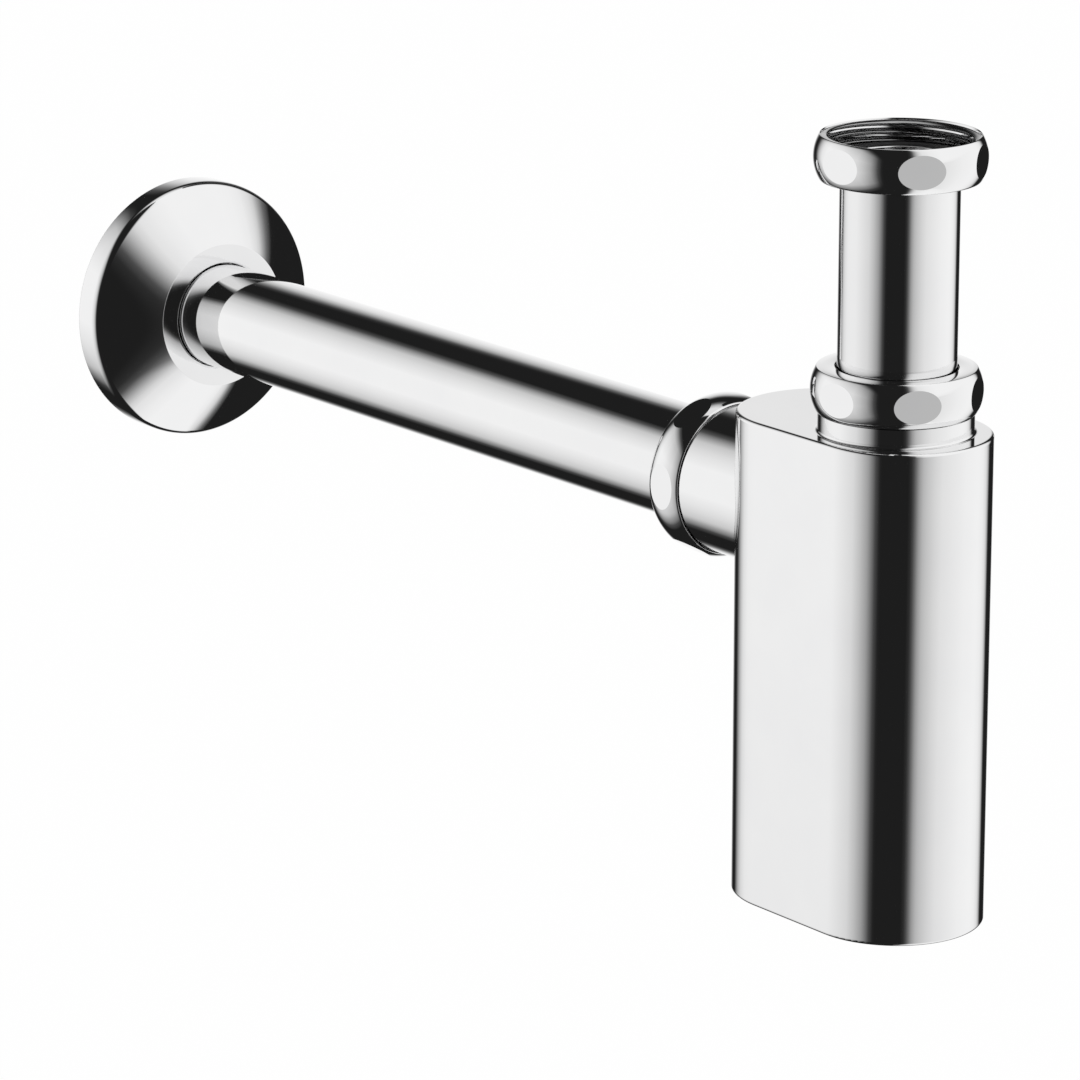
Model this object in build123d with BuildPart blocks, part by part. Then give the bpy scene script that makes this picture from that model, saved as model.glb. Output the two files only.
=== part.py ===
from build123d import *
import math
import os

# Sink trap: a flat bottle trap between a basin waste above and a drain in the wall behind.
# Millimetres. The origin is on the inlet axis at the mouth of the inlet nut.
# +Z points up to the basin, +Y points to the wall.

# Tubes
tube_diameter = 32.0
tube_wall = 1.0
inlet_tube_shown = 50.5
wall_tube_shown = 236.4
wall_tube_insert = 25.0
wall_tube_overlap = 24.0
flange_width = 2.9
flange_thickness = 1.2
lip_height = 1.4
spigot_length = 22.0
spigot_step = 0.3
dip_gap = 28.0

# Thread of the three nuts, drawn as plain cylinders at the root of the male thread
thread_step = 4.955
thread_pitch = 2.309

# Nuts: barrel-shaped, with six flats
nut_height = 12.0
nut_rim = 0.445
nut_belly = 1.65
nut_flat_depth = 0.91
nut_flat_count = 6
inlet_nut_turn = -117.0
outlet_nut_turn = 0.0
nut_face = 2.0
nut_lead_in = 0.3

# Trap body
body_length = 79.2
body_height = 136.0
body_wall = 1.5
body_edge = 1.0
inlet_setback = 26.75
neck_land = 3.8
inlet_neck_shown = 5.5
outlet_neck_shown = 12.85
outlet_drop = 27.2
neck_fillet = 0.4
neck_end_chamfer = 0.4
seat_width = 1.4
seat_depth = 4.0

# Seals and washers
washer_thickness = 1.0
seal_head = 1.4
seal_head_width = 3.2
gasket_thickness = 2.0
gasket_width = 2.7

# Escutcheon and its rubber ring
escutcheon_diameter = 80.0
escutcheon_depth = 20.0
escutcheon_wall = 1.2
escutcheon_front_width = 5.7
escutcheon_cone_depth = 11.5
escutcheon_edge = 3.0
escutcheon_bore_edge = 0.8
boss_depth = 7.0
boss_wall = 2.0
ring_section = 2.4
ring_setback = 3.0

# Clearances
sliding_clearance = 0.05
washer_clearance = 0.3
nut_bore_clearance = 0.5
neck_bore_clearance = 1.0
thread_clearance = 0.05
shoulder_clearance = 0.3
face_gap = 0.02
groove_clearance = 0.1
same_place = 0.01

# Radii
tube_radius = tube_diameter / 2
tube_bore = tube_radius - tube_wall
thread_crest = tube_radius + thread_step
thread_depth = 0.640327 * thread_pitch
thread_root = thread_crest - thread_depth
nut_bore = tube_radius + nut_bore_clearance
nut_thread = thread_root + thread_clearance
nut_relief = thread_crest + thread_clearance
nut_end_radius = thread_crest + nut_rim
nut_belly_radius = nut_end_radius + nut_belly
nut_flat_reach = nut_belly_radius - nut_flat_depth
neck_bore = tube_radius + neck_bore_clearance
seat_radius = neck_bore + seat_width
body_width = 2 * (thread_crest + neck_land)
flange_radius = tube_radius + flange_width
seal_bore = tube_radius + sliding_clearance
seal_radius = tube_radius + seal_head_width
washer_bore = tube_radius + washer_clearance
washer_radius = nut_thread - washer_clearance
gasket_bore = tube_radius + washer_clearance
gasket_radius = gasket_bore + gasket_width

# Heights inside a nut, measured from its mouth
washer_level = nut_height - nut_face - washer_thickness
seal_level = washer_level - seal_head
flange_level = washer_level - flange_thickness
gasket_level = flange_level - gasket_thickness
relief_level = gasket_level - groove_clearance

# Places along the inlet axis
inlet_washer_top = -washer_level
flange_top = -flange_level
neck_nut_face = -nut_height - inlet_tube_shown
neck_nut_mouth = neck_nut_face - nut_height
neck_end = neck_nut_mouth + seal_level - face_gap
body_top = neck_nut_mouth - inlet_neck_shown
body_floor = body_top - body_height
dip_end = body_floor + body_wall + dip_gap
outlet_height = body_top - outlet_drop

# Places along the outlet axis
body_front = -inlet_setback
body_middle = body_front + body_length / 2
body_rear = body_front + body_length
outlet_nut_mouth = body_rear + outlet_neck_shown
outlet_nut_face = outlet_nut_mouth + nut_height
outlet_neck_end = outlet_nut_mouth + seal_level - face_gap
escutcheon_front = outlet_nut_face + wall_tube_shown
escutcheon_back = escutcheon_front + escutcheon_depth
wall_tube_start = outlet_neck_end - wall_tube_overlap
wall_tube_end = escutcheon_back + wall_tube_insert
spigot_start = wall_tube_end - spigot_length

outlet_axis = Axis((0, 0, outlet_height), (0, 1, 0))
outlet_plane = Plane((0, 0, outlet_height), x_dir=(1, 0, 0), z_dir=(0, 1, 0))
base_fillet = min(neck_fillet, 0.45 * (neck_land - body_edge))

os.makedirs("parts", exist_ok=True)


def level(height):
    # Flat plane across the inlet axis.
    return Plane.XY.offset(height)


def station(distance):
    # Upright plane across the outlet axis.
    return outlet_plane.offset(distance)


# Trap body: one piece, a flat bottle with the inlet neck on top and the outlet neck at the rear
with BuildPart() as trap_body:
    with BuildSketch(level(body_floor)):
        with Locations((0, body_middle)):
            SlotOverall(body_length, body_width, rotation=90)
    extrude(amount=body_height)
    top_outline = trap_body.faces().sort_by(Axis.Z)[-1].outer_wire().edges()
    floor_outline = trap_body.faces().sort_by(Axis.Z)[0].outer_wire().edges()
    fillet(top_outline + floor_outline, body_edge)
    # inlet neck, plain below the nut and threaded above
    with BuildSketch(level(body_top - body_wall)):
        Circle(thread_crest)
    extrude(amount=body_wall + inlet_neck_shown - shoulder_clearance)
    inlet_foot = (
        trap_body.edges()
        .filter_by(GeomType.CIRCLE)
        .filter_by(lambda edge: abs(edge.radius - thread_crest) < same_place)
        .filter_by(lambda edge: abs(edge.center().Z - body_top) < same_place)
    )
    fillet(inlet_foot, base_fillet)
    # outlet neck
    with BuildSketch(station(body_middle)):
        Circle(thread_crest)
    extrude(amount=outlet_nut_mouth - shoulder_clearance - body_middle)
    outlet_foot = (
        trap_body.edges()
        .filter_by(lambda edge: edge.geom_type not in (GeomType.CIRCLE, GeomType.LINE))
        .filter_by(lambda edge: edge.center().Y > body_middle)
    )
    fillet(outlet_foot, base_fillet)
    # threaded ends of both necks
    with BuildSketch(level(body_top)):
        Circle(thread_root)
    extrude(amount=neck_end - body_top)
    inlet_lip = trap_body.faces().sort_by(Axis.Z)[-1].outer_wire().edges()
    chamfer(inlet_lip, neck_end_chamfer)
    with BuildSketch(station(body_rear)):
        Circle(thread_root)
    extrude(amount=outlet_neck_end - body_rear)
    outlet_lip = trap_body.faces().sort_by(Axis.Y)[-1].outer_wire().edges()
    chamfer(outlet_lip, neck_end_chamfer)
    # hollow inside
    with BuildSketch(level(body_floor + body_wall)):
        with Locations((0, body_middle)):
            SlotOverall(body_length - 2 * body_wall, body_width - 2 * body_wall, rotation=90)
    extrude(amount=body_height - 2 * body_wall, mode=Mode.SUBTRACT)
    # bores of both necks, opening to a conical seat at the mouth
    with BuildSketch(Plane.XZ):
        with BuildLine():
            Polyline(
                (0, body_top - 2 * body_wall),
                (neck_bore, body_top - 2 * body_wall),
                (neck_bore, neck_end - seat_depth),
                (seat_radius, neck_end),
                (0, neck_end),
                close=True,
            )
        make_face()
    revolve(axis=Axis.Z, mode=Mode.SUBTRACT)
    with BuildSketch(Plane.YZ):
        with BuildLine():
            Polyline(
                (body_middle, outlet_height),
                (body_middle, outlet_height + neck_bore),
                (outlet_neck_end - seat_depth, outlet_height + neck_bore),
                (outlet_neck_end, outlet_height + seat_radius),
                (outlet_neck_end, outlet_height),
                close=True,
            )
        make_face()
    revolve(axis=outlet_axis, mode=Mode.SUBTRACT)

trap_body.part.label = "trap_body"
export_step(trap_body.part, "parts/trap_body.step")

# Inlet tube: 32 mm tube with a flange near its top, dipping into the trap's water
# A short lip above the flange centres the gasket.
with BuildPart() as inlet_tube:
    with BuildSketch(level(dip_end)):
        Circle(tube_radius)
    extrude(amount=flange_top + lip_height - dip_end)
    with BuildSketch(level(flange_top - flange_thickness)):
        Circle(flange_radius)
    extrude(amount=flange_thickness)
    with BuildSketch(level(dip_end)):
        Circle(tube_bore)
    extrude(amount=flange_top + lip_height - dip_end, mode=Mode.SUBTRACT)

inlet_tube.part.label = "inlet_tube"
export_step(inlet_tube.part, "parts/inlet_tube.step")

# Wall tube: 32 mm tube from the outlet neck to the drain in the wall
# Its end is drawn down a little to enter the drain's seal.
with BuildPart() as wall_tube:
    with BuildSketch(station(wall_tube_start)):
        Circle(tube_radius)
    extrude(amount=spigot_start - wall_tube_start)
    with BuildSketch(station(spigot_start)):
        Circle(tube_radius - spigot_step)
    extrude(amount=spigot_length)
    with BuildSketch(station(wall_tube_start)):
        Circle(tube_bore - spigot_step)
    extrude(amount=wall_tube_end - wall_tube_start, mode=Mode.SUBTRACT)
    with BuildSketch(station(wall_tube_start)):
        Circle(tube_bore)
    extrude(amount=spigot_start - wall_tube_start, mode=Mode.SUBTRACT)

wall_tube.part.label = "wall_tube"
export_step(wall_tube.part, "parts/wall_tube.step")


def nut_outline(mouth, away):
    # Half section of a nut: barrel outside, threaded bore, relief and face inside.
    # The mouth lies at the given height and the face lies in the away direction, +1 or -1.
    with BuildLine() as section:
        Polyline(
            (nut_bore, mouth + away * nut_height),
            (nut_bore, mouth + away * (nut_height - nut_face)),
            (nut_relief, mouth + away * (nut_height - nut_face)),
            (nut_relief, mouth + away * relief_level),
            (nut_thread, mouth + away * relief_level),
            (nut_thread, mouth + away * nut_lead_in),
            (nut_thread + nut_lead_in, mouth),
            (nut_end_radius, mouth),
        )
        ThreePointArc(
            (nut_end_radius, mouth),
            (nut_belly_radius, mouth + away * nut_height / 2),
            (nut_end_radius, mouth + away * nut_height),
        )
        Line((nut_end_radius, mouth + away * nut_height), (nut_bore, mouth + away * nut_height))
    make_face(section.edges())


def spanner_flats(turn):
    # Outline of the material that the flats take off a nut. One flat faces the given turn.
    # A polygon's corner lies at zero turn, and its flat half a side further on.
    corner_turn = turn - 180.0 / nut_flat_count
    Circle(nut_belly_radius + nut_belly)
    RegularPolygon(
        nut_flat_reach,
        nut_flat_count,
        major_radius=False,
        rotation=corner_turn,
        mode=Mode.SUBTRACT,
    )


# Inlet nut: joins the inlet tube's flange to the basin waste
with BuildPart() as inlet_nut:
    with BuildSketch(Plane.XZ):
        nut_outline(0, -1)
    revolve(axis=Axis.Z)
    with BuildSketch(level(-nut_height)):
        spanner_flats(inlet_nut_turn)
    extrude(amount=nut_height, mode=Mode.SUBTRACT)

inlet_nut.part.label = "inlet_nut"
export_step(inlet_nut.part, "parts/inlet_nut.step")

# Neck nut: the same nut turned over, presses the cone seal into the inlet neck
with BuildPart() as neck_nut:
    with BuildSketch(Plane.XZ):
        nut_outline(neck_nut_mouth, 1)
    revolve(axis=Axis.Z)
    with BuildSketch(level(neck_nut_mouth)):
        spanner_flats(inlet_nut_turn)
    extrude(amount=nut_height, mode=Mode.SUBTRACT)

neck_nut.part.label = "neck_nut"
export_step(neck_nut.part, "parts/neck_nut.step")

# Outlet nut: the same nut on the outlet neck
outlet_section = Plane((0, 0, outlet_height), x_dir=(1, 0, 0), z_dir=(0, 0, 1))
with BuildPart() as outlet_nut:
    with BuildSketch(outlet_section):
        nut_outline(outlet_nut_mouth, 1)
    revolve(axis=outlet_axis)
    with BuildSketch(station(outlet_nut_mouth)):
        spanner_flats(outlet_nut_turn)
    extrude(amount=nut_height, mode=Mode.SUBTRACT)

outlet_nut.part.label = "outlet_nut"
export_step(outlet_nut.part, "parts/outlet_nut.step")

# Slip washers: plastic rings that let a nut turn without twisting the seal or the flange
with BuildPart() as inlet_slip_washer:
    with BuildSketch(level(inlet_washer_top - washer_thickness + face_gap)):
        Circle(washer_radius)
        Circle(washer_bore, mode=Mode.SUBTRACT)
    extrude(amount=washer_thickness - 2 * face_gap)

inlet_slip_washer.part.label = "inlet_slip_washer"
export_step(inlet_slip_washer.part, "parts/inlet_slip_washer.step")

with BuildPart() as neck_slip_washer:
    with BuildSketch(level(neck_nut_mouth + washer_level + face_gap)):
        Circle(washer_radius)
        Circle(washer_bore, mode=Mode.SUBTRACT)
    extrude(amount=washer_thickness - 2 * face_gap)

neck_slip_washer.part.label = "neck_slip_washer"
export_step(neck_slip_washer.part, "parts/neck_slip_washer.step")

with BuildPart() as outlet_slip_washer:
    with BuildSketch(station(outlet_nut_mouth + washer_level + face_gap)):
        Circle(washer_radius)
        Circle(washer_bore, mode=Mode.SUBTRACT)
    extrude(amount=washer_thickness - 2 * face_gap)

outlet_slip_washer.part.label = "outlet_slip_washer"
export_step(outlet_slip_washer.part, "parts/outlet_slip_washer.step")

# Inlet gasket: flat rubber ring on the tube's flange, squeezed against the basin waste
with BuildPart() as inlet_gasket:
    with BuildSketch(level(flange_top)):
        Circle(gasket_radius)
        Circle(gasket_bore, mode=Mode.SUBTRACT)
    extrude(amount=gasket_thickness)

inlet_gasket.part.label = "inlet_gasket"
export_step(inlet_gasket.part, "parts/inlet_gasket.step")


def seal_outline(end):
    # Half section of a cone seal: flat head on the neck's end, cone down into the neck's seat.
    with BuildLine() as section:
        Polyline(
            (seal_bore, end + face_gap + seal_head),
            (seal_bore, end - seat_depth),
            (neck_bore - sliding_clearance, end - seat_depth),
            (seat_radius - sliding_clearance, end),
            (seat_radius - sliding_clearance, end + face_gap),
            (seal_radius, end + face_gap),
            (seal_radius, end + face_gap + seal_head),
            close=True,
        )
    make_face(section.edges())


# Cone seals: rubber rings that close the gap between a neck and its tube
with BuildPart() as neck_cone_seal:
    with BuildSketch(Plane.XZ):
        seal_outline(neck_end)
    revolve(axis=Axis.Z)

neck_cone_seal.part.label = "neck_cone_seal"
export_step(neck_cone_seal.part, "parts/neck_cone_seal.step")

with BuildPart() as outlet_cone_seal:
    with BuildSketch(outlet_section):
        seal_outline(outlet_neck_end)
    revolve(axis=outlet_axis)

outlet_cone_seal.part.label = "outlet_cone_seal"
export_step(outlet_cone_seal.part, "parts/outlet_cone_seal.step")

# Escutcheon: turned cover plate that hides the hole in the wall
cover_radius = escutcheon_diameter / 2
cover_bore = tube_radius + nut_bore_clearance
cover_front_radius = cover_bore + escutcheon_front_width
cone_run = cover_radius - cover_front_radius
cone_rise = escutcheon_cone_depth / cone_run
cone_thickness = escutcheon_wall * math.hypot(1, cone_rise)
inner_radius = cover_radius - escutcheon_wall
inner_corner = cone_thickness + (inner_radius - cover_front_radius) * cone_rise
ring_outside = tube_radius + sliding_clearance + ring_section
groove_radius = ring_outside + groove_clearance
boss_radius = min(groove_radius + boss_wall, cover_front_radius - escutcheon_wall)
groove_start = escutcheon_front + ring_setback
groove_width = ring_section + 2 * groove_clearance

with BuildPart() as escutcheon:
    with BuildSketch(outlet_section):
        with BuildLine():
            Polyline(
                (cover_bore, escutcheon_front),
                (cover_front_radius, escutcheon_front),
                (cover_radius, escutcheon_front + escutcheon_cone_depth),
                (cover_radius, escutcheon_back),
                (inner_radius, escutcheon_back),
                (inner_radius, escutcheon_front + inner_corner),
                (cover_front_radius, escutcheon_front + cone_thickness),
                (boss_radius, escutcheon_front + cone_thickness),
                (boss_radius, escutcheon_front + boss_depth),
                (cover_bore, escutcheon_front + boss_depth),
                close=True,
            )
        make_face()
    revolve(axis=outlet_axis)
    rim_corner = (
        escutcheon.edges()
        .filter_by(GeomType.CIRCLE)
        .filter_by(lambda edge: abs(edge.radius - cover_radius) < same_place)
        .sort_by(Axis.Y)[0:1]
    )
    fillet(rim_corner, escutcheon_edge)
    bore_edge = (
        escutcheon.edges()
        .filter_by(GeomType.CIRCLE)
        .filter_by(lambda edge: abs(edge.radius - cover_bore) < same_place)
        .sort_by(Axis.Y)[0:1]
    )
    fillet(bore_edge, escutcheon_bore_edge)
    with BuildSketch(station(groove_start)):
        Circle(groove_radius)
    extrude(amount=groove_width, mode=Mode.SUBTRACT)

escutcheon.part.label = "escutcheon"
export_step(escutcheon.part, "parts/escutcheon.step")

# Escutcheon ring: rubber ring in the escutcheon's groove that grips the wall tube
ring_middle = tube_radius + sliding_clearance + ring_section / 2
with BuildPart() as escutcheon_ring:
    with BuildSketch(outlet_section):
        with Locations((ring_middle, groove_start + groove_width / 2)):
            Circle(ring_section / 2)
    revolve(axis=outlet_axis)

escutcheon_ring.part.label = "escutcheon_ring"
export_step(escutcheon_ring.part, "parts/escutcheon_ring.step")
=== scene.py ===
import math

import bmesh
import bpy
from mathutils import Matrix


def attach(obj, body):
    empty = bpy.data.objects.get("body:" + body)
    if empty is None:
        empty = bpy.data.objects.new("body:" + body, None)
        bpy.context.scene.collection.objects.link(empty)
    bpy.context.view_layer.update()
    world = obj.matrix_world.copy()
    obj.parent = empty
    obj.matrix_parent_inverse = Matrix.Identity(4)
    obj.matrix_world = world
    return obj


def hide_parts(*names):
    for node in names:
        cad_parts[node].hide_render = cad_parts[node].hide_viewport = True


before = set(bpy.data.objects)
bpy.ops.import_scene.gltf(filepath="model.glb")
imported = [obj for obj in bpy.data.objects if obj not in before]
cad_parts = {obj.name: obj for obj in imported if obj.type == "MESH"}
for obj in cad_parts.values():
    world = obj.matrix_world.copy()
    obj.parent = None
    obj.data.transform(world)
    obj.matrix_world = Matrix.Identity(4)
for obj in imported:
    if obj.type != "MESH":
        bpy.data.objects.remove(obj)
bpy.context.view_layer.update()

# Trap body
# The flat bottle that holds the water, cast in brass with its two threaded necks in one piece.
# It is ground smooth, polished on a wheel and chrome plated all over.


def wire(tree, start, socket, end, slot):
    tree.links.new(start.outputs[socket], end.inputs[slot])


def open_group(name, inputs, outputs):
    tree = bpy.data.node_groups.new(name, "ShaderNodeTree")
    for label, kind, value in inputs:
        socket = tree.interface.new_socket(label, in_out="INPUT", socket_type=kind)
        if value is not None:
            socket.default_value = value
    for label, kind in outputs:
        tree.interface.new_socket(label, in_out="OUTPUT", socket_type=kind)
    return tree, tree.nodes.new("NodeGroupInput"), tree.nodes.new("NodeGroupOutput")


# Wheel polishing leaves a faint uneven haze and very fine hairlines in the plating.
polish, polish_in, polish_out = open_group(
    "wheel_polish",
    [
        ("Vector", "NodeSocketVector", None),
        ("Haze Scale", "NodeSocketFloat", 40.0),
        ("Hairline Scale", "NodeSocketFloat", 900.0),
    ],
    [("Haze", "NodeSocketFloat"), ("Hairlines", "NodeSocketFloat")],
)
haze = polish.nodes.new("ShaderNodeTexNoise")
haze.inputs["Detail"].default_value = 4.0
haze.inputs["Roughness"].default_value = 0.55
wire(polish, polish_in, "Vector", haze, "Vector")
wire(polish, polish_in, "Haze Scale", haze, "Scale")
haze_range = polish.nodes.new("ShaderNodeMapRange")
haze_range.inputs["From Min"].default_value = 0.3
haze_range.inputs["From Max"].default_value = 0.7
wire(polish, haze, "Fac", haze_range, "Value")
wire(polish, haze_range, "Result", polish_out, "Haze")
drag = polish.nodes.new("ShaderNodeMapping")
drag.inputs["Scale"].default_value = (1.0, 1.0, 0.06)
wire(polish, polish_in, "Vector", drag, "Vector")
hairlines = polish.nodes.new("ShaderNodeTexNoise")
hairlines.inputs["Detail"].default_value = 2.0
wire(polish, drag, "Vector", hairlines, "Vector")
wire(polish, polish_in, "Hairline Scale", hairlines, "Scale")
wire(polish, hairlines, "Fac", polish_out, "Hairlines")

# Handling leaves a few dull wipe marks.
handling, handling_in, handling_out = open_group(
    "handling_marks",
    [
        ("Vector", "NodeSocketVector", None),
        ("Wipe Scale", "NodeSocketFloat", 22.0),
    ],
    [("Wipe", "NodeSocketFloat")],
)
wipe = handling.nodes.new("ShaderNodeTexNoise")
wipe.inputs["Detail"].default_value = 6.0
wipe.inputs["Distortion"].default_value = 0.6
wire(handling, handling_in, "Vector", wipe, "Vector")
wire(handling, handling_in, "Wipe Scale", wipe, "Scale")
wipe_range = handling.nodes.new("ShaderNodeMapRange")
wipe_range.interpolation_type = "SMOOTHSTEP"
wipe_range.inputs["From Min"].default_value = 0.56
wipe_range.inputs["From Max"].default_value = 0.72
wire(handling, wipe, "Fac", wipe_range, "Value")
wire(handling, wipe_range, "Result", handling_out, "Wipe")


wipe_share = 0.35
hairline_strength = 0.02
hairline_depth = 0.00002


def chrome_finish(name, dull, bright, least_rough, most_rough):
    finish = bpy.data.materials.new(name)
    finish.use_nodes = True
    tree = finish.node_tree
    shader = tree.nodes["Principled BSDF"]
    shader.inputs["Metallic"].default_value = 1.0
    place = tree.nodes.new("ShaderNodeTexCoord")
    marks = tree.nodes.new("ShaderNodeGroup")
    marks.node_tree = polish
    touch = tree.nodes.new("ShaderNodeGroup")
    touch.node_tree = handling
    wire(tree, place, "Object", marks, "Vector")
    wire(tree, place, "Object", touch, "Vector")
    tint = tree.nodes.new("ShaderNodeMix")
    tint.data_type = "RGBA"
    tint.inputs["A"].default_value = bright
    tint.inputs["B"].default_value = dull
    wire(tree, marks, "Haze", tint, "Factor")
    wire(tree, tint, "Result", shader, "Base Color")
    rough = tree.nodes.new("ShaderNodeMapRange")
    rough.inputs["To Min"].default_value = least_rough
    rough.inputs["To Max"].default_value = most_rough
    both = tree.nodes.new("ShaderNodeMath")
    both.operation = "MULTIPLY_ADD"
    both.inputs[1].default_value = wipe_share
    wire(tree, touch, "Wipe", both, 0)
    wire(tree, marks, "Haze", both, 2)
    wire(tree, both, "Value", rough, "Value")
    wire(tree, rough, "Result", shader, "Roughness")
    bump = tree.nodes.new("ShaderNodeBump")
    bump.inputs["Strength"].default_value = hairline_strength
    bump.inputs["Distance"].default_value = hairline_depth
    wire(tree, marks, "Hairlines", bump, "Height")
    wire(tree, bump, "Normal", shader, "Normal")
    return finish


chrome = chrome_finish(
    "chrome_plate",
    dull=(0.86, 0.86, 0.865, 1.0),
    bright=(0.885, 0.885, 0.885, 1.0),
    least_rough=0.02,
    most_rough=0.05,
)
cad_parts["trap_body"].material_slots[0].material = chrome

# Neck foot
# The soft corner that casting leaves round the foot of the inlet neck, on the body's top.
# It belongs to the body, and is polished and plated with it.
# The pieces' sizes are in millimetres, and mm turns them into metres.
mm = 0.001
weld = 0.000001
body_top = -80.0
neck_outside = 20.955
foot_rounding = 0.75
foot_sunk = 0.1
foot_proud = 0.006
foot_pieces = 8


def start_outline(name, outline):
    bpy.ops.object.select_all(action="DESELECT")
    bpy.ops.mesh.primitive_plane_add(size=2 * mm, location=(0.0, 0.0, 0.0))
    piece = bpy.context.object
    piece.name = name
    piece.data.name = name
    bpy.ops.object.mode_set(mode="EDIT")
    bpy.ops.mesh.select_all(action="SELECT")
    bpy.ops.mesh.merge(type="CENTER")
    radius, height = outline[0]
    bpy.ops.transform.translate(value=(radius * mm, 0.0, height * mm))
    for here, there in zip(outline, outline[1:] + outline[:1]):
        step = ((there[0] - here[0]) * mm, 0.0, (there[1] - here[1]) * mm)
        bpy.ops.mesh.extrude_region_move(TRANSFORM_OT_translate={"value": step})
    bpy.ops.mesh.select_all(action="SELECT")
    bpy.ops.mesh.remove_doubles(threshold=weld)
    return piece


def close_up(smooth_angle):
    bpy.ops.mesh.select_all(action="SELECT")
    bpy.ops.mesh.remove_doubles(threshold=weld)
    bpy.ops.mesh.normals_make_consistent(inside=False)
    bpy.ops.object.mode_set(mode="OBJECT")
    bpy.ops.object.shade_smooth_by_angle(
        angle=math.radians(smooth_angle), keep_sharp_edges=True
    )


def turn_piece(name, outline, steps, smooth_angle):
    piece = start_outline(name, outline)
    bpy.ops.mesh.spin(
        steps=steps, angle=2 * math.pi, center=(0.0, 0.0, 0.0), axis=(0.0, 0.0, 1.0)
    )
    close_up(smooth_angle)
    return piece


foot_outline = [
    (neck_outside - foot_sunk, body_top + foot_rounding),
    (neck_outside - foot_sunk, body_top - foot_sunk),
    (neck_outside + foot_rounding, body_top - foot_sunk),
]
for step in range(foot_pieces + 1):
    turn = math.pi / 2 * step / foot_pieces
    foot_outline.append(
        (
            neck_outside + foot_proud + foot_rounding * (1.0 - math.sin(turn)),
            body_top + foot_proud + foot_rounding * (1.0 - math.cos(turn)),
        )
    )
neck_foot = turn_piece("inlet_neck_foot", foot_outline, steps=256, smooth_angle=50.0)
neck_foot.data.materials.append(chrome)
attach(neck_foot, "trap")

# Neck threads
# The male pipe thread cut on both necks of the body before plating, one ridge round the core.
# Eleven turns to the inch, right-handed, with flanks at 55 degrees to each other.
# The polishing wheel can't reach into it, so the plating stays satin, and its colour is painted
# darker as shade, for the dim inside of the nuts.
pitch = 2.309
flank = math.tan(math.radians(27.5))
crest_half = 0.17
crest_drop = 0.08
crest_shoulder = 0.04
crest_cut = 0.06
neck_core = 19.476
neck_sunk = 0.15
neck_ridge = 20.9
thread_steps = 96
fine_cut = 0.0000001
# Satin roughness, and a base colour about half the polished chrome's: painted shade for the threads
# deep in the nuts.
satin_painted_shade = chrome_finish(
    "chrome_on_thread_painted_shade",
    dull=(0.40, 0.40, 0.405, 1.0),
    bright=(0.50, 0.50, 0.50, 1.0),
    least_rough=0.12,
    most_rough=0.2,
)


def tooth_outline(sunk, foot, ridge, middle, half):
    # One tooth from its buried side over the eased crest and back, for a male or a female thread.
    drop = math.copysign(crest_drop, foot - ridge)
    return [
        (sunk, middle - half),
        (foot, middle - half),
        (ridge + drop, middle - crest_half - crest_shoulder),
        (ridge, middle - crest_half + crest_cut),
        (ridge, middle + crest_half - crest_cut),
        (ridge + drop, middle + crest_half + crest_shoulder),
        (foot, middle + half),
        (sunk, middle + half),
    ]


def wind_thread(name, outline, below, turns, bottom, top):
    lowered = [(radius, height - below * pitch) for radius, height in outline]
    piece = start_outline(name, lowered)
    bpy.ops.object.mode_set(mode="OBJECT")
    lead = piece.modifiers.new("lead", "SCREW")
    lead.axis = "Z"
    lead.angle = 2 * math.pi
    lead.screw_offset = pitch * mm
    lead.iterations = turns
    lead.steps = thread_steps
    lead.render_steps = thread_steps
    bpy.ops.object.modifier_apply(modifier=lead.name)
    bpy.ops.object.mode_set(mode="EDIT")
    for height in (bottom, top):
        bpy.ops.mesh.select_all(action="SELECT")
        bpy.ops.mesh.bisect(
            plane_co=(0.0, 0.0, height * mm),
            plane_no=(0.0, 0.0, 1.0),
            use_fill=True,
            clear_inner=height == bottom,
            clear_outer=height == top,
            threshold=fine_cut,
        )
    close_up(smooth_angle=35.0)
    return piece


def pick(piece):
    bpy.ops.object.select_all(action="DESELECT")
    piece.select_set(True)
    bpy.context.view_layer.objects.active = piece


def place_piece(piece, turns, shift):
    pick(piece)
    for axis_turn in turns:
        piece.rotation_euler = axis_turn
        bpy.ops.object.transform_apply(location=True, rotation=True, scale=True)
    piece.location = shift
    bpy.ops.object.transform_apply(location=True, rotation=True, scale=True)


def copy_piece(piece, name):
    pick(piece)
    bpy.ops.object.duplicate(linked=False)
    twin = bpy.context.object
    twin.name = name
    twin.data.name = name
    return twin


nut_turn = math.radians(-117.0)
neck_mouth = -74.5 * mm
outlet_height = -107.2 * mm
outlet_mouth = 65.3 * mm
to_the_wall = (-math.pi / 2, 0.0, 0.0)
foot_half = crest_half + (neck_ridge - neck_core) * flank
neck_tooth = tooth_outline(neck_core - neck_sunk, neck_core, neck_ridge, pitch / 2, foot_half)
inlet_neck_thread = wind_thread(
    "inlet_neck_thread", neck_tooth, below=2, turns=7, bottom=-0.25, top=7.1
)
inlet_neck_thread.data.materials.append(satin_painted_shade)
outlet_neck_thread = copy_piece(inlet_neck_thread, "outlet_neck_thread")
place_piece(inlet_neck_thread, [(0.0, 0.0, nut_turn)], (0.0, 0.0, neck_mouth))
place_piece(outlet_neck_thread, [to_the_wall], (0.0, outlet_mouth, outlet_height))
for neck_thread in (inlet_neck_thread, outlet_neck_thread):
    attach(neck_thread, "trap")

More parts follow.
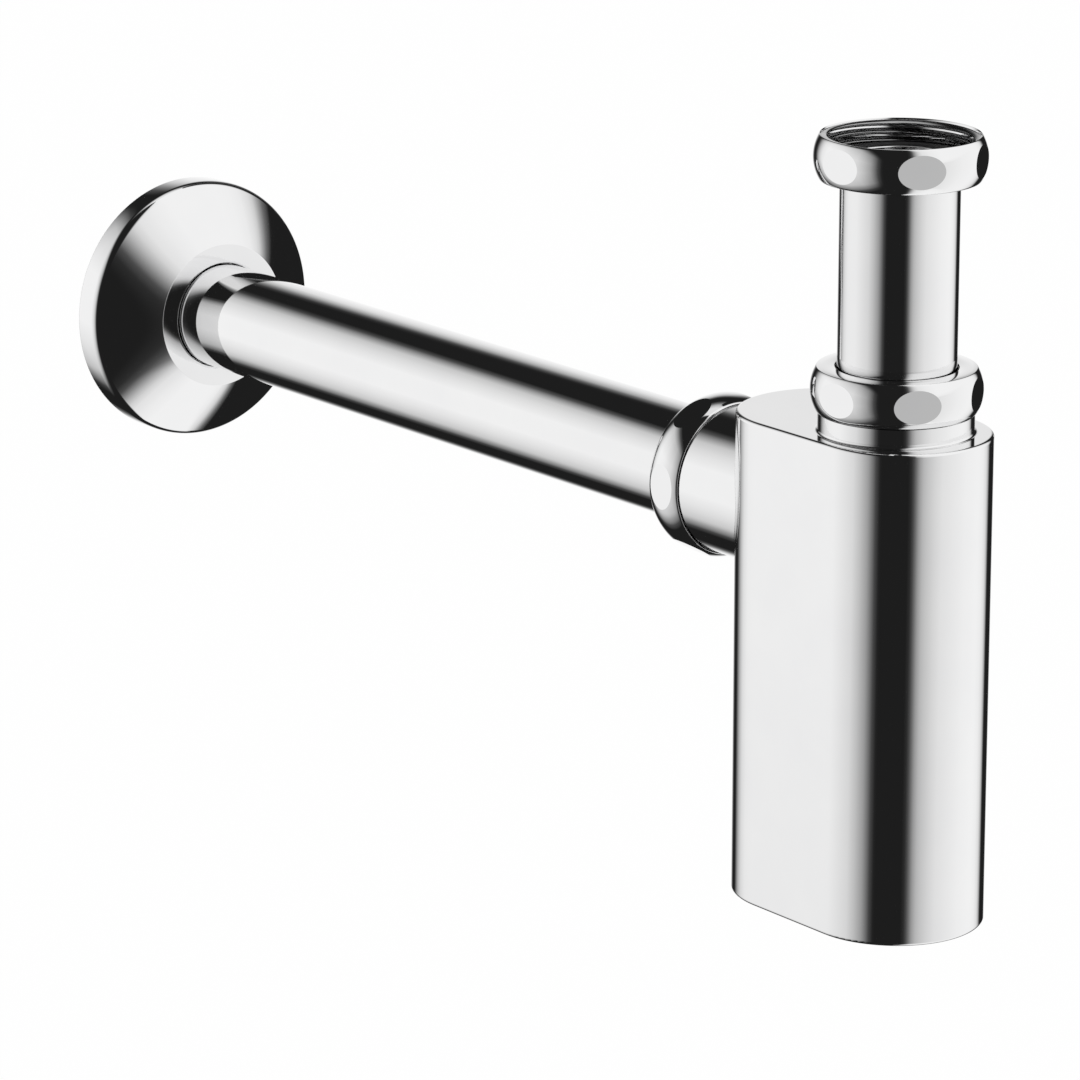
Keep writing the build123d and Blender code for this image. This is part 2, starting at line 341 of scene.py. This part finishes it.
# Cone seals
# Moulded rubber rings with a flat head and a conical foot, pressed into the mouths of both necks.
# They close the gap between a neck and the tube that slides in it.
grain, grain_in, grain_out = open_group(
    "mould_grain",
    [
        ("Vector", "NodeSocketVector", None),
        ("Grain Scale", "NodeSocketFloat", 1400.0),
        ("Bloom Scale", "NodeSocketFloat", 90.0),
    ],
    [("Grain", "NodeSocketFloat"), ("Bloom", "NodeSocketFloat")],
)
fine = grain.nodes.new("ShaderNodeTexNoise")
fine.inputs["Detail"].default_value = 3.0
wire(grain, grain_in, "Vector", fine, "Vector")
wire(grain, grain_in, "Grain Scale", fine, "Scale")
wire(grain, fine, "Fac", grain_out, "Grain")
bloom = grain.nodes.new("ShaderNodeTexNoise")
bloom.inputs["Detail"].default_value = 5.0
wire(grain, grain_in, "Vector", bloom, "Vector")
wire(grain, grain_in, "Bloom Scale", bloom, "Scale")
bloom_range = grain.nodes.new("ShaderNodeMapRange")
bloom_range.interpolation_type = "SMOOTHSTEP"
bloom_range.inputs["From Min"].default_value = 0.35
bloom_range.inputs["From Max"].default_value = 0.7
wire(grain, bloom, "Fac", bloom_range, "Value")
wire(grain, bloom_range, "Result", grain_out, "Bloom")


grain_depth = 0.0001


def moulded_finish(name, fresh, bloomed, least_rough, most_rough, grain_strength):
    finish = bpy.data.materials.new(name)
    finish.use_nodes = True
    tree = finish.node_tree
    shader = tree.nodes["Principled BSDF"]
    place = tree.nodes.new("ShaderNodeTexCoord")
    skin = tree.nodes.new("ShaderNodeGroup")
    skin.node_tree = grain
    touch = tree.nodes.new("ShaderNodeGroup")
    touch.node_tree = handling
    wire(tree, place, "Object", skin, "Vector")
    wire(tree, place, "Object", touch, "Vector")
    tint = tree.nodes.new("ShaderNodeMix")
    tint.data_type = "RGBA"
    tint.inputs["A"].default_value = fresh
    tint.inputs["B"].default_value = bloomed
    wire(tree, skin, "Bloom", tint, "Factor")
    wire(tree, tint, "Result", shader, "Base Color")
    rough = tree.nodes.new("ShaderNodeMapRange")
    rough.inputs["To Min"].default_value = least_rough
    rough.inputs["To Max"].default_value = most_rough
    wire(tree, touch, "Wipe", rough, "Value")
    wire(tree, rough, "Result", shader, "Roughness")
    bump = tree.nodes.new("ShaderNodeBump")
    bump.inputs["Strength"].default_value = grain_strength
    bump.inputs["Distance"].default_value = grain_depth
    wire(tree, skin, "Grain", bump, "Height")
    wire(tree, bump, "Normal", shader, "Normal")
    return finish


rubber = moulded_finish(
    "black_seal_rubber",
    fresh=(0.016, 0.016, 0.017, 1.0),
    bloomed=(0.032, 0.031, 0.030, 1.0),
    least_rough=0.48,
    most_rough=0.66,
    grain_strength=0.35,
)
for seal in ("neck_cone_seal", "outlet_cone_seal"):
    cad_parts[seal].material_slots[0].material = rubber

# Inlet tube
# Drawn brass tube, 32 mm across, with a flange rolled near its top and a short lip above it.
# It hangs from the inlet nut and dips through the neck into the trap's water.


def round_outline(corners, pieces=6):
    # Corners are (radius, height, rounding). Each rounded corner becomes a short arc.
    outline = []
    for index, (radius, height, rounding) in enumerate(corners):
        if rounding == 0.0:
            outline.append((radius, height))
            continue
        before = corners[index - 1]
        after = corners[(index + 1) % len(corners)]
        back = (before[0] - radius, before[1] - height)
        ahead = (after[0] - radius, after[1] - height)
        back_length = math.hypot(*back)
        ahead_length = math.hypot(*ahead)
        back = (back[0] / back_length, back[1] / back_length)
        ahead = (ahead[0] / ahead_length, ahead[1] / ahead_length)
        half = math.acos(back[0] * ahead[0] + back[1] * ahead[1]) / 2
        run = rounding / math.tan(half)
        middle = (back[0] + ahead[0], back[1] + ahead[1])
        reach = rounding / math.sin(half) / math.hypot(*middle)
        centre = (radius + middle[0] * reach, height + middle[1] * reach)
        start = (radius + back[0] * run, height + back[1] * run)
        end = (radius + ahead[0] * run, height + ahead[1] * run)
        first = math.atan2(start[1] - centre[1], start[0] - centre[0])
        last = math.atan2(end[1] - centre[1], end[0] - centre[0])
        sweep = (last - first + math.pi) % (2 * math.pi) - math.pi
        for step in range(pieces + 1):
            turn = first + sweep * step / pieces
            outline.append(
                (centre[0] + rounding * math.cos(turn), centre[1] + rounding * math.sin(turn))
            )
    return outline


tube_outside = 16.0
tube_inside = 15.0
tube_foot = -186.5
tube_steps = 192
sawn_edge = 0.3
turned_edge = 0.35
flange_outside = 18.9
flange_under = -9.0
flange_over = -7.8
flange_edge = 0.4
flange_corner = 0.2
lip_top = -6.4
inlet_tube = turn_piece(
    "inlet_tube_drawn",
    round_outline(
        [
            (tube_inside, tube_foot, sawn_edge),
            (tube_outside, tube_foot, sawn_edge),
            (tube_outside, flange_under, flange_corner),
            (flange_outside, flange_under, flange_edge),
            (flange_outside, flange_over, flange_edge),
            (tube_outside, flange_over, flange_corner),
            (tube_outside, lip_top, turned_edge),
            (tube_inside, lip_top, turned_edge),
        ]
    ),
    steps=tube_steps,
    smooth_angle=35.0,
)
inlet_tube.data.materials.append(chrome)
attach(inlet_tube, "inlet_pipe")
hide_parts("inlet_tube")

# Inlet gasket
# Flat rubber ring on the tube's flange, centred by the lip and squeezed against the basin waste.
# Moulded with soft edges and two raised sealing beads.
gasket_inside = 16.3
gasket_outside = 19.0
gasket_under = -7.79
gasket_face = -5.95
gasket_edge = 0.25
bead_middles = (18.2, 17.0)
bead_half = 0.3
bead_top = -5.81
bead_edge = 0.15
gasket_corners = [
    (gasket_inside, gasket_under, gasket_edge),
    (gasket_outside, gasket_under, gasket_edge),
    (gasket_outside, gasket_face, gasket_edge),
]
for bead in bead_middles:
    gasket_corners += [
        (bead + bead_half, gasket_face, bead_edge),
        (bead, bead_top, bead_edge),
        (bead - bead_half, gasket_face, bead_edge),
    ]
gasket_corners.append((gasket_inside, gasket_face, bead_edge))
gasket = turn_piece(
    "inlet_gasket_moulded",
    round_outline(gasket_corners, pieces=4),
    steps=128,
    smooth_angle=50.0,
)
gasket.data.materials.append(rubber)
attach(gasket, "inlet_pipe")
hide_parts("inlet_gasket")

# Slip washers
# Thin rings stamped from white plastic sheet, one behind the face of each nut.
# They let the nut turn without dragging the seal or the flange round.
plastic = moulded_finish(
    "white_washer_plastic",
    fresh=(0.80, 0.79, 0.76, 1.0),
    bloomed=(0.72, 0.71, 0.67, 1.0),
    least_rough=0.34,
    most_rough=0.5,
    grain_strength=0.12,
)
for washer in ("inlet_slip_washer", "neck_slip_washer", "outlet_slip_washer"):
    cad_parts[washer].material_slots[0].material = plastic

# Union nuts
# Three equal nuts turned from brass bar, barrel-shaped, with six milled flats and a thread inside.
# One joins the tube to the basin waste, the others press the seals into the two necks.
nut_height = 12.0
nut_end = 21.4
nut_belly = 23.05
nut_flat = 22.14
nut_hole = 16.5
nut_seat = 10.0
nut_root = 21.0
nut_root_gap = 0.02
nut_root_sunk = 0.04
nut_ridge = 19.53
nut_smooth = 35.0
flat_corners = 12
upright = 0.01
bulge = nut_belly - nut_end
barrel_radius = (bulge * bulge + (nut_height / 2) ** 2) / (2 * bulge)
barrel_centre = nut_belly - barrel_radius
barrel_pieces = 28
edge_break = 0.14
rim_inset = 0.13
rim_shoulder = 0.03
rim_drop = 0.045
hole_break = 0.25
hole_shoulder = 0.07
lead_in = 0.4
barrel = []
for step in range(barrel_pieces + 1):
    height = edge_break + (nut_height - 2 * edge_break) * step / barrel_pieces
    reach = math.sqrt(barrel_radius**2 - (height - nut_height / 2) ** 2)
    barrel.append((barrel_centre + reach, height))
nut_outline = [
    (nut_root, lead_in),
    (nut_end - rim_inset, 0.0),
    (nut_end - rim_shoulder, rim_drop),
    *barrel,
    (nut_end - rim_shoulder, nut_height - rim_drop),
    (nut_end - rim_inset, nut_height),
    (nut_hole + hole_break, nut_height),
    (nut_hole + hole_shoulder, nut_height - hole_shoulder),
    (nut_hole, nut_height - hole_break),
    (nut_hole, nut_seat),
    (nut_root, nut_seat),
]


def mill_flats(piece, count, reach):
    bpy.context.view_layer.objects.active = piece
    bpy.ops.object.mode_set(mode="EDIT")
    for side in range(count):
        turn = 2 * math.pi * side / count
        outward = (math.cos(turn), math.sin(turn), 0.0)
        bpy.ops.mesh.select_all(action="SELECT")
        bpy.ops.mesh.bisect(
            plane_co=(outward[0] * reach * mm, outward[1] * reach * mm, 0.0),
            plane_no=outward,
            use_fill=True,
            clear_outer=True,
            threshold=fine_cut,
        )
    # A flat is the only upright face with many corners. Its border stays a crisp edge.
    work = bmesh.from_edit_mesh(piece.data)
    bpy.ops.mesh.select_all(action="DESELECT")
    for face in work.faces:
        many_corners = len(face.verts) > flat_corners
        face.select_set(many_corners and abs(face.normal.z) < upright)
    bmesh.update_edit_mesh(piece.data)
    bpy.ops.mesh.region_to_loop()
    bpy.ops.mesh.mark_sharp()
    bpy.ops.object.mode_set(mode="OBJECT")
    bpy.ops.object.shade_smooth_by_angle(
        angle=math.radians(nut_smooth), keep_sharp_edges=True
    )


inlet_nut = turn_piece("inlet_nut_milled", nut_outline, steps=240, smooth_angle=nut_smooth)
mill_flats(inlet_nut, count=6, reach=nut_flat)
root_half = crest_half + (nut_root - nut_ridge) * flank
nut_tooth = tooth_outline(
    nut_root + nut_root_sunk, nut_root - nut_root_gap, nut_ridge, 0.0, root_half
)
nut_thread = wind_thread(
    "nut_thread", nut_tooth, below=2, turns=6, bottom=lead_in, top=5.7
)
# The nut's thread gets the same painted shade as the neck threads.
nut_thread.data.materials.append(satin_painted_shade)
inlet_nut.data.materials.append(chrome)
pick(inlet_nut)
nut_thread.select_set(True)
bpy.ops.object.join()
neck_nut = copy_piece(inlet_nut, "neck_nut_milled")
outlet_nut = copy_piece(inlet_nut, "outlet_nut_milled")
place_piece(inlet_nut, [(math.pi, 0.0, 0.0), (0.0, 0.0, nut_turn)], (0.0, 0.0, 0.0))
place_piece(neck_nut, [(0.0, 0.0, nut_turn)], (0.0, 0.0, neck_mouth))
place_piece(outlet_nut, [to_the_wall], (0.0, outlet_mouth, outlet_height))
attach(inlet_nut, "inlet_union")
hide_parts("inlet_nut")
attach(neck_nut, "neck_union")
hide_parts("neck_nut")
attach(outlet_nut, "outlet_union")
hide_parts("outlet_nut")

# Wall tube
# The same 32 mm drawn tube, from the outlet neck to the drain in the wall.
# Its far end is drawn down a little in a die, so that it enters the drain's rubber seal.
wall_tube_start = 48.88
draw_start = 336.2
draw_end = 337.2
draw_rounding = 0.8
spigot_outside = 15.7
spigot_inside = 14.7
spigot_end = 358.7
wall_tube = turn_piece(
    "wall_tube_drawn",
    round_outline(
        [
            (tube_inside, wall_tube_start, sawn_edge),
            (tube_outside, wall_tube_start, sawn_edge),
            (tube_outside, draw_start, draw_rounding),
            (spigot_outside, draw_end, draw_rounding),
            (spigot_outside, spigot_end, turned_edge),
            (spigot_inside, spigot_end, turned_edge),
            (spigot_inside, draw_end, draw_rounding),
            (tube_inside, draw_start, draw_rounding),
        ]
    ),
    steps=tube_steps,
    smooth_angle=35.0,
)
wall_tube.data.materials.append(chrome)
place_piece(wall_tube, [to_the_wall], (0.0, 0.0, outlet_height))
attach(wall_tube, "wall_pipe")
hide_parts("wall_tube")

# Escutcheon
# Spun brass cover with a flat front, a conical flank and a straight rim, soldered to a turned boss.
# It slides along the wall tube and hides the hole in the wall.
cover_hole = 16.2
cover_front = 313.7
cover_hole_edge = 0.9
front_outside = 22.2
front_edge = 0.25
front_back = 315.129
rim_outside = 40.0
rim_inside = 38.8
rim_start = 325.2
rim_inside_start = 325.855
rim_end = 333.7
rim_edge = 0.4
rim_bend = 3.0
rim_inside_bend = 1.8
boss_outside = 20.55
boss_end = 320.7
boss_edge = 0.3
groove_floor = 18.55
groove_near = 316.7
groove_far = 319.3
groove_edge = 0.1
groove_corner = 0.2
escutcheon = turn_piece(
    "escutcheon_spun",
    round_outline(
        [
            (cover_hole, cover_front, cover_hole_edge),
            (front_outside, cover_front, front_edge),
            (rim_outside, rim_start, rim_bend),
            (rim_outside, rim_end, rim_edge),
            (rim_inside, rim_end, rim_edge),
            (rim_inside, rim_inside_start, rim_inside_bend),
            (front_outside, front_back, boss_edge),
            (boss_outside, front_back, boss_edge),
            (boss_outside, boss_end, boss_edge),
            (cover_hole, boss_end, boss_edge),
            (cover_hole, groove_far, groove_edge),
            (groove_floor, groove_far, groove_corner),
            (groove_floor, groove_near, groove_corner),
            (cover_hole, groove_near, groove_edge),
        ]
    ),
    steps=256,
    smooth_angle=30.0,
)
escutcheon.data.materials.append(chrome)
place_piece(escutcheon, [to_the_wall], (0.0, 0.0, outlet_height))
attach(escutcheon, "wall_cover")
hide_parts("escutcheon")

# Escutcheon ring
# Moulded rubber ring of round section, pressed into the groove of the cover's boss.
# It grips the wall tube and holds the cover against the wall.
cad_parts["escutcheon_ring"].material_slots[0].material = rubber

# Studio floor
# A plain white floor far below the object, as in a photographer's tent.
# The camera sees it nearly white, and what is left shows the object's soft shadow.
floor_level = -1.2
floor_size = 60.0
floor_glow = 0.95


def stage_material(name):
    material = bpy.data.materials.new(name)
    material.use_nodes = True
    material.node_tree.nodes.clear()
    return material, material.node_tree


def mix_out(tree, share, under, over):
    mix = tree.nodes.new("ShaderNodeMixShader")
    wire(tree, share, "Value", mix, "Fac")
    wire(tree, under, 0, mix, 1)
    wire(tree, over, 0, mix, 2)
    out = tree.nodes.new("ShaderNodeOutputMaterial")
    wire(tree, mix, "Shader", out, "Surface")


bpy.ops.object.select_all(action="DESELECT")
bpy.ops.mesh.primitive_plane_add(size=floor_size, location=(0.0, 0.0, floor_level))
floor = bpy.context.object
floor.name = "studio_floor"
bpy.ops.object.transform_apply(location=True, rotation=True, scale=True)
floor_paint, tree = stage_material("white_floor")
painted = tree.nodes.new("ShaderNodeBsdfDiffuse")
painted.inputs["Color"].default_value = (0.9, 0.9, 0.9, 1.0)
lit = tree.nodes.new("ShaderNodeEmission")
ray = tree.nodes.new("ShaderNodeLightPath")
share = tree.nodes.new("ShaderNodeMath")
share.operation = "MULTIPLY"
share.inputs[1].default_value = floor_glow
wire(tree, ray, "Is Camera Ray", share, 0)
mix_out(tree, share, painted, lit)
floor.data.materials.append(floor_paint)
floor.visible_glossy = False

# Studio lining
# A dark cloth far round the object, which only the object's shine sees.
# It has four soft windows onto the white surround: left, right, behind the object and overhead.
# Directions are in degrees: azimuth 0 faces the camera, positive to its right, and level is 0.
lining_radius = 28.0
lining_centre = (0.0, 0.15, -0.11)
camera_bearing = 129.54
near_black = (0.0142, 0.0142, 0.0142, 1.0)
bpy.ops.object.select_all(action="DESELECT")
bpy.ops.mesh.primitive_uv_sphere_add(
    segments=64, ring_count=32, radius=lining_radius, location=lining_centre
)
lining = bpy.context.object
lining.name = "studio_lining"
bpy.ops.object.transform_apply(location=True, rotation=True, scale=True)
lining_cloth, tree = stage_material("dark_lining")
place = tree.nodes.new("ShaderNodeTexCoord")
facing = tree.nodes.new("ShaderNodeMapping")
facing.inputs["Rotation"].default_value = (0.0, 0.0, math.radians(camera_bearing))
wire(tree, place, "Object", facing, "Vector")
toward = tree.nodes.new("ShaderNodeVectorMath")
toward.operation = "NORMALIZE"
wire(tree, facing, "Vector", toward, 0)
parts = tree.nodes.new("ShaderNodeSeparateXYZ")
wire(tree, toward, "Vector", parts, "Vector")


def sum_up(operation, first, first_socket, second, second_socket=None):
    tree = first.id_data
    node = tree.nodes.new("ShaderNodeMath")
    node.operation = operation
    wire(tree, first, first_socket, node, 0)
    if second_socket is not None:
        wire(tree, second, second_socket, node, 1)
    elif second is not None:
        node.inputs[1].default_value = second
    return node


def degrees(node):
    return sum_up("DEGREES", node, "Value", None)


azimuth = degrees(sum_up("ARCTAN2", parts, "Y", parts, "X"))
elevation = degrees(sum_up("ARCSINE", parts, "Z", None))


def fall_off(measure, lowest, highest, stops, socket="Value"):
    # A soft ramp along one measure. Stops are (measure, level).
    tree = measure.id_data
    span = tree.nodes.new("ShaderNodeMapRange")
    span.inputs["From Min"].default_value = lowest
    span.inputs["From Max"].default_value = highest
    wire(tree, measure, socket, span, "Value")
    ramp = tree.nodes.new("ShaderNodeValToRGB")
    while len(ramp.color_ramp.elements) > 1:
        ramp.color_ramp.elements.remove(ramp.color_ramp.elements[0])
    for index, (spot, level) in enumerate(stops):
        place_on_ramp = (spot - lowest) / (highest - lowest)
        if index == 0:
            stop = ramp.color_ramp.elements[0]
            stop.position = place_on_ramp
        else:
            stop = ramp.color_ramp.elements.new(place_on_ramp)
        stop.color = (level, level, level, 1.0)
    wire(tree, span, "Result", ramp, "Fac")
    return ramp


def rise_along(heading):
    # Steepness of a direction as seen from the side, looking across the given heading.
    lean = tree.nodes.new("ShaderNodeVectorMath")
    lean.operation = "DOT_PRODUCT"
    turn = math.radians(heading)
    lean.inputs[1].default_value = (math.cos(turn), math.sin(turn), 0.0)
    wire(tree, toward, "Vector", lean, 0)
    return degrees(sum_up("ARCTAN2", parts, "Z", lean, "Value"))


# The left window fades towards the camera, and its top and foot run straight, like a panel's.
left_across = fall_off(
    azimuth,
    -180.0,
    0.0,
    [
        (-151.0, 0.0),
        (-146.0, 0.05),
        (-137.0, 0.55),
        (-132.0, 0.76),
        (-127.0, 0.91),
        (-117.0, 1.0),
        (-105.0, 1.0),
        (-92.0, 0.98),
        (-82.0, 0.92),
        (-62.0, 0.79),
        (-52.0, 0.61),
        (-42.0, 0.39),
        (-37.0, 0.22),
        (-32.0, 0.06),
        (-27.0, 0.005),
        (-24.0, 0.0),
    ],
)
left_top = fall_off(
    rise_along(-92.0),
    0.0,
    60.0,
    [
        (14.0, 1.0),
        (24.0, 0.88),
        (30.0, 0.79),
        (37.0, 0.64),
        (41.0, 0.4),
        (46.0, 0.08),
        (50.0, 0.0),
    ],
)
left_foot = fall_off(
    rise_along(-75.0),
    -70.0,
    0.0,
    [
        (-61.0, 0.0),
        (-55.5, 0.07),
        (-52.0, 0.24),
        (-48.0, 0.4),
        (-45.0, 0.56),
        (-42.5, 0.66),
        (-34.0, 0.8),
        (-26.7, 0.89),
        (-15.0, 1.0),
    ],
)
left_down = sum_up("MULTIPLY", left_top, "Color", left_foot, "Color")
left_window = sum_up("MULTIPLY", left_across, "Color", left_down, "Value")

# The right window opens wider well above and below, and above level its far edge gives way
# to the card's.
right_across = fall_off(
    azimuth,
    0.0,
    180.0,
    [
        (8.0, 0.0),
        (12.0, 0.015),
        (15.0, 0.06),
        (18.0, 0.16),
        (22.0, 0.35),
        (27.0, 0.52),
        (32.0, 0.61),
        (42.0, 0.74),
        (52.0, 0.84),
        (67.0, 0.9),
        (87.0, 0.97),
        (107.0, 1.0),
    ],
)
steep_across = fall_off(
    azimuth,
    0.0,
    180.0,
    [
        (11.0, 0.0),
        (15.0, 0.07),
        (18.0, 0.27),
        (21.5, 0.51),
        (25.5, 0.73),
        (30.5, 0.87),
        (42.0, 0.95),
        (57.0, 1.0),
    ],
)
right_level = -20.0
lift = sum_up("SUBTRACT", elevation, "Value", right_level)
away = sum_up("ABSOLUTE", lift, "Value", None)
steep = fall_off(away, 0.0, 90.0, [(12.0, 0.0), (20.0, 0.35), (30.0, 0.95), (36.0, 1.0)])
steep_part = sum_up("MULTIPLY", steep_across, "Color", steep, "Color")
right_open = sum_up("MAXIMUM", right_across, "Color", steep_part, "Value")
edge_retreat = -3.0
most_retreat = -10.0
above = sum_up("MAXIMUM", elevation, "Value", 0.0)
retreat = sum_up("MULTIPLY", above, "Value", edge_retreat)
bound_retreat = sum_up("MAXIMUM", retreat, "Value", most_retreat)
edge_azimuth = sum_up("ADD", azimuth, "Value", bound_retreat, "Value")
right_edge = fall_off(
    edge_azimuth,
    0.0,
    220.0,
    [(112.0, 1.0), (122.0, 0.96), (130.0, 0.85), (136.0, 0.6), (141.0, 0.08), (145.0, 0.0)],
)
right_window = sum_up("MULTIPLY", right_open, "Value", right_edge, "Color")

# The back window stands behind the object, and the overhead one lies above it.
behind = sum_up("ABSOLUTE", azimuth, "Value", None)
back_across = fall_off(
    behind,
    90.0,
    180.0,
    [(157.0, 0.0), (162.0, 0.12), (166.0, 0.4), (170.0, 0.8), (174.0, 1.0)],
)
back_down = fall_off(
    elevation,
    -60.0,
    60.0,
    [
        (-47.0, 0.0),
        (-40.0, 0.35),
        (-34.0, 0.75),
        (-28.0, 0.93),
        (-20.0, 1.0),
        (0.0, 0.97),
        (10.0, 0.91),
        (17.0, 0.82),
        (23.0, 0.65),
        (29.0, 0.43),
        (33.0, 0.17),
        (38.0, 0.02),
        (41.0, 0.0),
    ],
)
back_window = sum_up("MULTIPLY", back_across, "Color", back_down, "Color")
sides_open = sum_up("MAXIMUM", left_window, "Value", right_window, "Value")
top_across = fall_off(behind, 90.0, 180.0, [(96.0, 0.0), (108.0, 0.35), (122.0, 1.0)])
top_down = fall_off(elevation, 0.0, 90.0, [(54.0, 0.0), (60.0, 0.12), (66.0, 0.5), (74.0, 0.85)])
top_window = sum_up("MULTIPLY", top_across, "Color", top_down, "Color")
ends_open = sum_up("MAXIMUM", back_window, "Value", top_window, "Value")
all_open = sum_up("MAXIMUM", sides_open, "Value", ends_open, "Value")


def dark_and_clear(tree):
    dark = tree.nodes.new("ShaderNodeEmission")
    dark.inputs["Color"].default_value = near_black
    return dark, tree.nodes.new("ShaderNodeBsdfTransparent")


def show_to_shine_only(piece):
    piece.visible_camera = False
    piece.visible_diffuse = False
    piece.visible_transmission = False
    piece.visible_shadow = False


dark, clear_air = dark_and_clear(tree)
mix_out(tree, all_open, dark, clear_air)
lining.data.materials.append(lining_cloth)
show_to_shine_only(lining)

# Studio card
# A tall dark card a metre away on the right, with a soft edge, which only the object's shine sees.
# It is near, so it ends the right window sooner for the escutcheon than for the nuts.
card_near = 1.0
card_low = -2.4
card_high = 2.5
card_left = -0.3
card_right = 0.65
bpy.ops.object.select_all(action="DESELECT")
bpy.ops.mesh.primitive_plane_add(
    size=1.0,
    location=(card_near, (card_left + card_right) / 2, (card_low + card_high) / 2),
    rotation=(0.0, math.pi / 2, 0.0),
)
card = bpy.context.object
card.name = "studio_card"
card.scale = (card_high - card_low, card_right - card_left, 1.0)
bpy.ops.object.transform_apply(location=True, rotation=True, scale=True)
card_cloth, tree = stage_material("dark_card")
place = tree.nodes.new("ShaderNodeTexCoord")
card_spot = tree.nodes.new("ShaderNodeSeparateXYZ")
wire(tree, place, "Object", card_spot, "Vector")
card_across = fall_off(
    card_spot,
    card_left,
    card_right,
    [
        (-0.28, 0.0),
        (-0.12, 0.01),
        (0.0, 0.05),
        (0.08, 0.17),
        (0.12, 0.3),
        (0.16, 0.6),
        (0.2, 0.85),
        (0.25, 1.0),
    ],
    "Y",
)
card_down = fall_off(card_spot, card_low, card_high, [(-2.3, 0.0), (-2.1, 1.0)], "Z")
card_cover = sum_up("MULTIPLY", card_across, "Color", card_down, "Color")
dark, clear_air = dark_and_clear(tree)
mix_out(tree, card_cover, clear_air, dark)
card.data.materials.append(card_cloth)
show_to_shine_only(card)

# Surround and camera
# The white surround lights everything. The camera looks from the photograph's side, without shift.
# Its focal length and place were fitted to the photograph's edges.
scene = bpy.context.scene
photo_width = 1080.0
focal_length = 5534.7
sensor_width = 36.0
eye_place = (-0.9483, -1.0640, 0.2873)
eye_down = 15.622
eye_heading = 37.911
surround = bpy.data.worlds.new("white_surround")
surround.use_nodes = True
surround.node_tree.nodes["Background"].inputs["Color"].default_value = (1.0, 1.0, 1.0, 1.0)
scene.world = surround

eye = bpy.data.cameras.new("camera")
eye.lens = focal_length / photo_width * sensor_width
eye_object = bpy.data.objects.new("camera", eye)
eye_object.location = eye_place
eye_object.rotation_euler = (math.radians(90.0 - eye_down), 0.0, math.radians(-eye_heading))
scene.collection.objects.link(eye_object)
scene.camera = eye_object
scene.view_settings.view_transform = "Standard"
